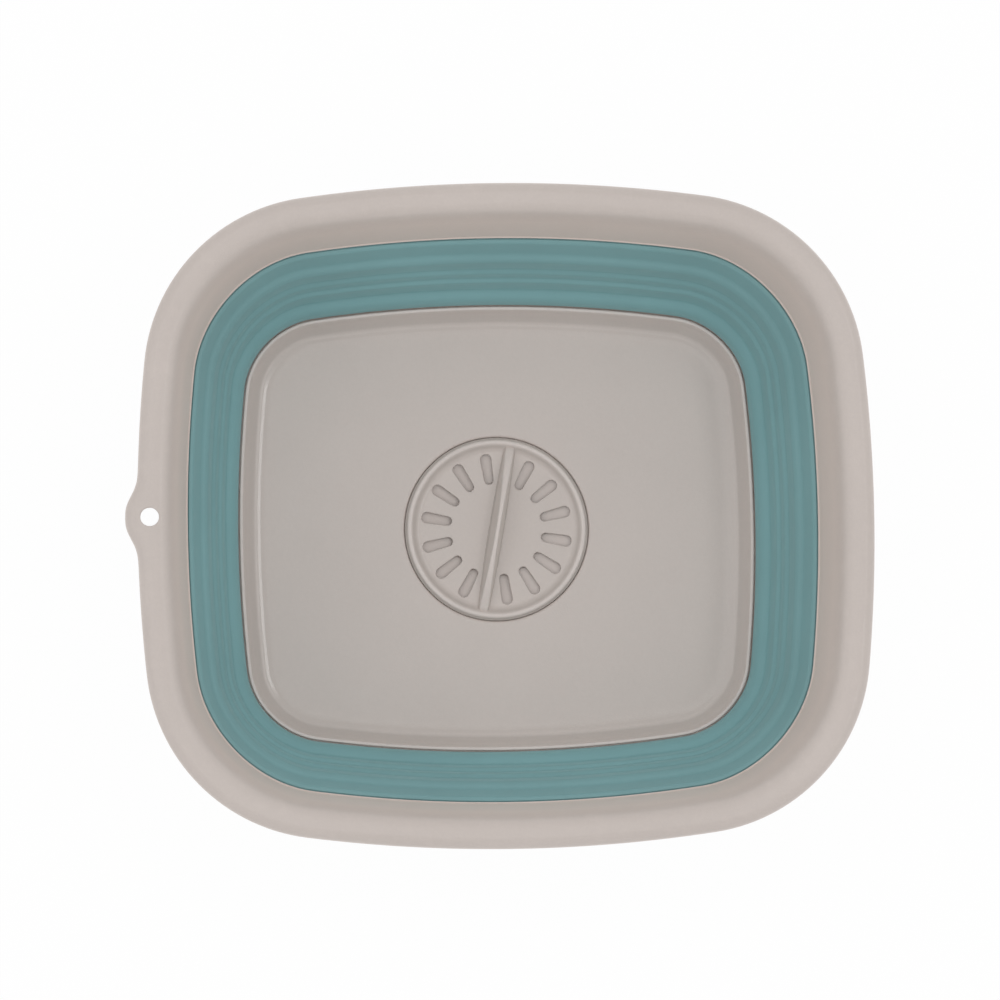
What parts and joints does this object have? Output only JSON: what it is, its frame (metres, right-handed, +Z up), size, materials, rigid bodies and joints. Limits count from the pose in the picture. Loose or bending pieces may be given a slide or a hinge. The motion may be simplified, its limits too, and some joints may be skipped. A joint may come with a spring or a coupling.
{
  "type": "collapsible camp washbasin",
  "caption": "Rounded rectangular camp washbasin with a hard rim and base, a stepped soft wall that folds flat, and a removable strainer drain plug.",
  "frame": {"origin": "on the surface that the basin stands on, under the middle of the whole basin with its hanging tab; the drain's axis is at x = 3.4 mm, y = 0", "axes": "+X along the basin's longer side, away from the end with the hanging tab; +Y along its shorter side; +Z up out of the basin"},
  "size_m": [0.3818, 0.3394, 0.123],
  "materials": {
    "rim_plastic": "warm grey polypropylene, fine satin grain",
    "pan_plastic": "warm grey polypropylene, fine satin grain",
    "plug_plastic": "warm grey polypropylene, satin",
    "wall_rubber": "teal thermoplastic elastomer, matt",
    "seal_rubber": "grey silicone, matt"
  },
  "bodies": {
    "base": {"base_pan": "pan_plastic", "lower_wall_band": "wall_rubber", "lower_fold_band": "wall_rubber"},
    "middle": {"middle_wall_band": "wall_rubber", "upper_fold_band": "wall_rubber"},
    "rim": {"rim": "rim_plastic", "hanging_tab": "rim_plastic", "upper_wall_band": "wall_rubber"},
    "seal": {"plug_seal": "seal_rubber"},
    "plug": {"strainer_plug": "plug_plastic"}
  },
  "joints": [
    {"name": "lower_fold", "type": "slide", "parent": "base", "child": "middle", "axis": [0, 0, 1], "range_m": [-0.036, 0], "deforming": ["lower_fold_band"]},
    {"name": "upper_fold", "type": "slide", "parent": "middle", "child": "rim", "axis": [0, 0, 1], "range_m": [-0.032, 0], "deforming": ["upper_fold_band"]},
    {"name": "plug_lift", "type": "slide", "parent": "base", "child": "seal", "axis": [0, 0, 1], "range_m": [0, 0.13]},
    {"name": "plug_turn", "type": "hinge", "parent": "seal", "child": "plug", "pos_m": [0.0034, 0, 0.009], "axis": [0, 0, 1], "continuous": true}
  ]
}
